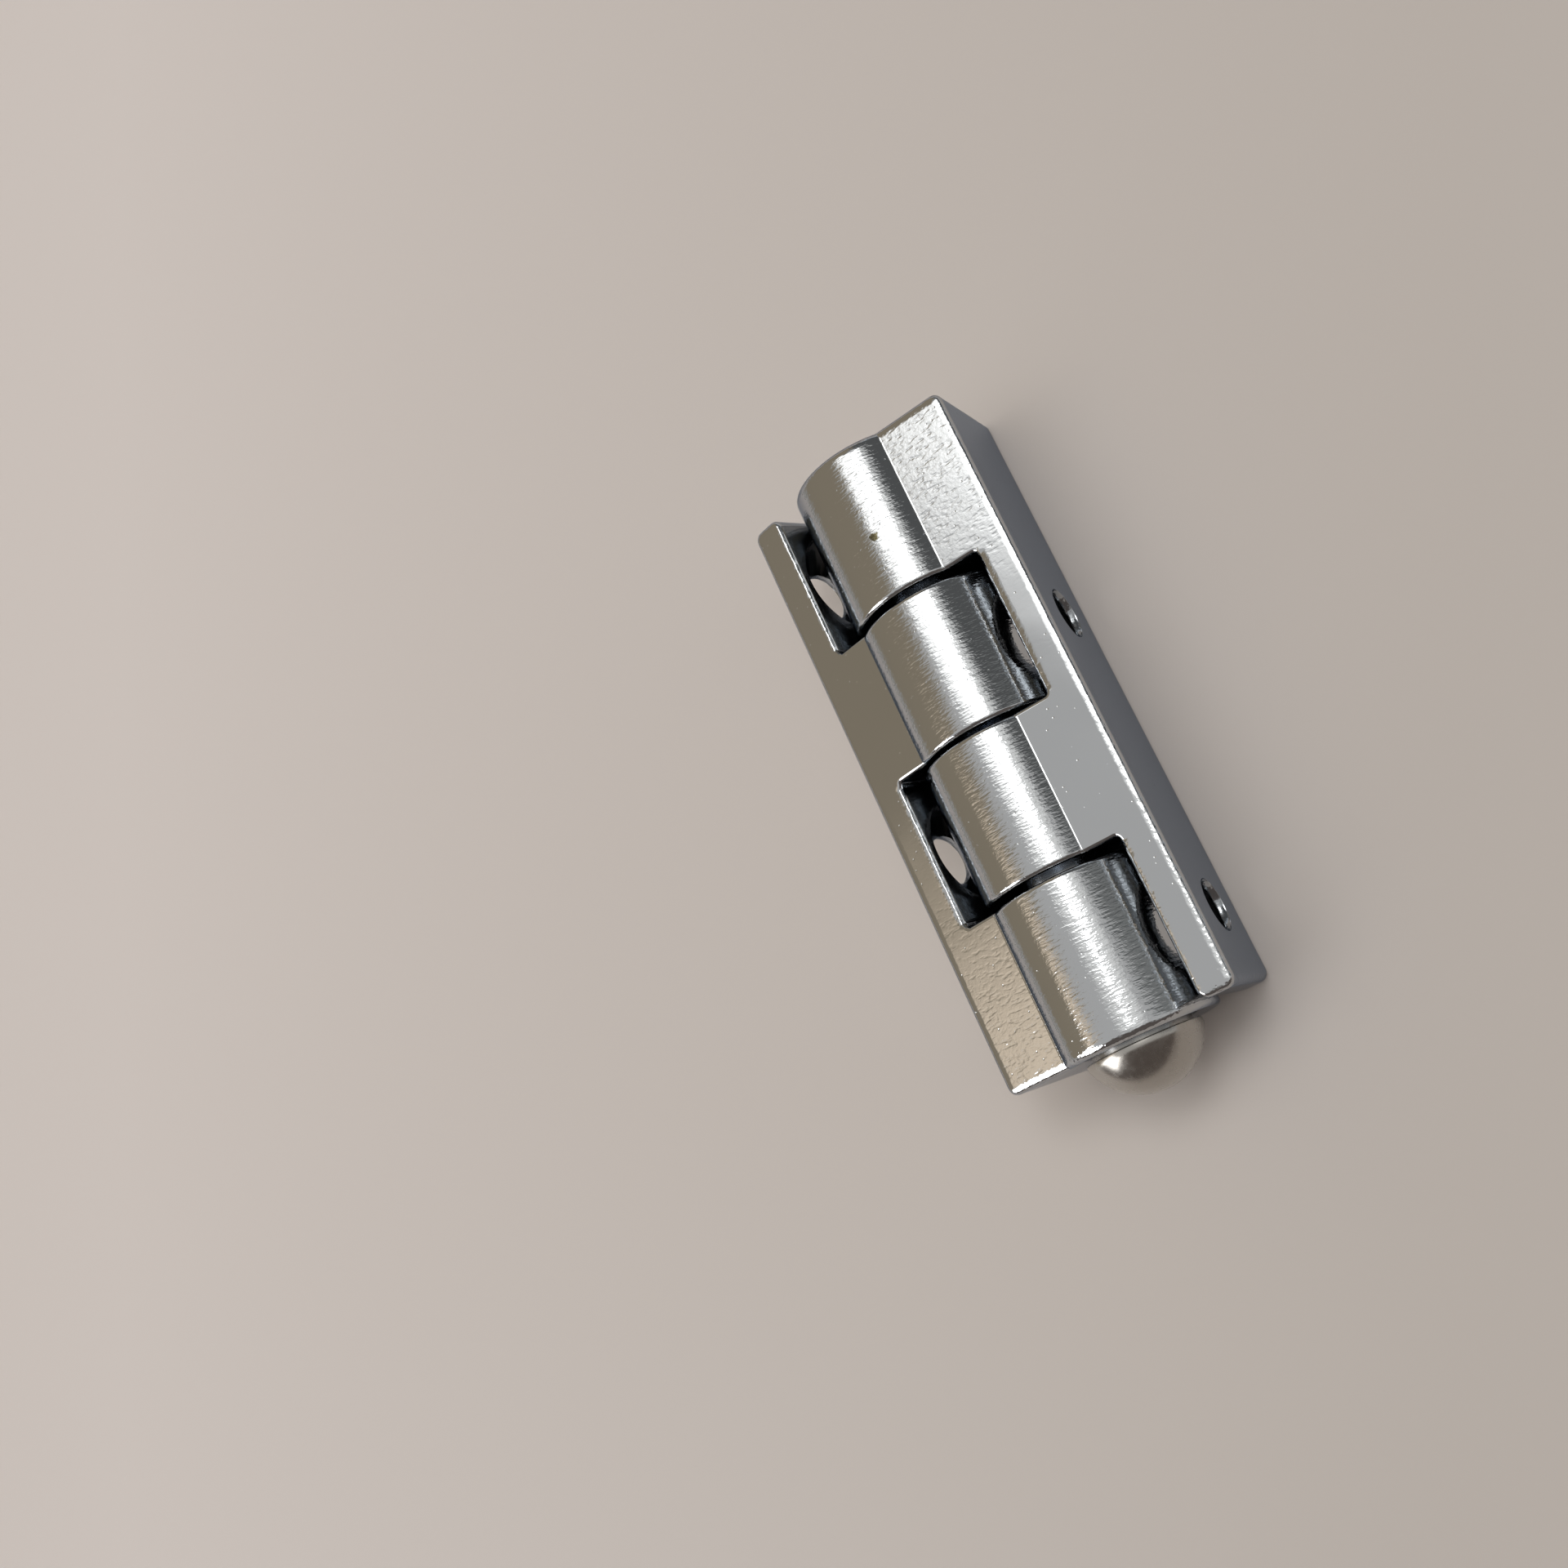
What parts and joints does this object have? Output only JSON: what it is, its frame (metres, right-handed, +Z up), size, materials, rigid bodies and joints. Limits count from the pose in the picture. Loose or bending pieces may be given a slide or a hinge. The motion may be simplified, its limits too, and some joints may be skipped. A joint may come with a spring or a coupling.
{
  "type": "concealed hinge",
  "caption": "Chrome block hinge whose cast leaves mesh their knuckles in each other's pockets and turn on a domed pin, fastened out of sight by countersunk screws.",
  "frame": {"origin": "middle of the hinge's box, on the surface it lies on", "axes": "+X along the pin towards its head, +Y across towards the moving leaf, +Z up"},
  "size_m": [0.0706, 0.026, 0.0165],
  "materials": {
    "chrome_casting": "bright chrome plate over a slightly bumpy zinc casting",
    "pin_steel": "satin turned steel"
  },
  "bodies": {
    "fixed_side": {"fixed_leaf": "chrome_casting", "hinge_pin": "pin_steel"},
    "moving_side": {"moving_leaf": "chrome_casting"}
  },
  "joints": [
    {"name": "leaf_swing", "type": "hinge", "parent": "fixed_side", "child": "moving_side", "pos_m": [0, 0, 0.00825], "axis": [1, 0, 0], "range_deg": [-85, 117]}
  ]
}
